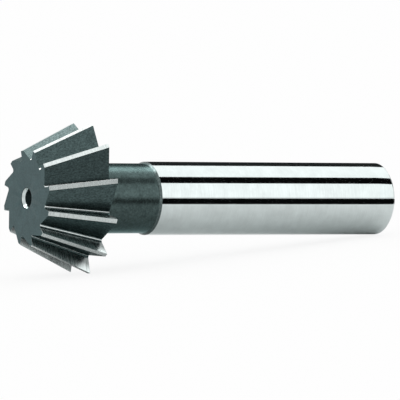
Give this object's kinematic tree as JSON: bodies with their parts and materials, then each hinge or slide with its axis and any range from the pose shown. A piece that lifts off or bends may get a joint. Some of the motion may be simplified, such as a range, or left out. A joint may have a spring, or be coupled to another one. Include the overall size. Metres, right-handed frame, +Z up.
{
  "type": "angle milling cutter",
  "caption": "Shank-type angle milling cutter: straight teeth on a cone that widens towards a plain cylindrical shank, with a short neck between head and shank and a centre hole in each end.",
  "frame": {"origin": "on the surface the tool lies on, under the middle of its box", "axes": "+Z up; +X along the tool from its small front face to the end of its shank, seen from above. The tool's own axis drops 6.14 degrees towards +X, because it lies on two teeth and on the end of its shank"},
  "size_m": [0.068, 0.0244, 0.0242],
  "materials": {
    "tool_steel": "high-speed steel: bright ground shank, grey ground lands, dark satin teeth and neck"
  },
  "bodies": {
    "root": {"angle_cutter": "tool_steel"}
  },
  "joints": []
}
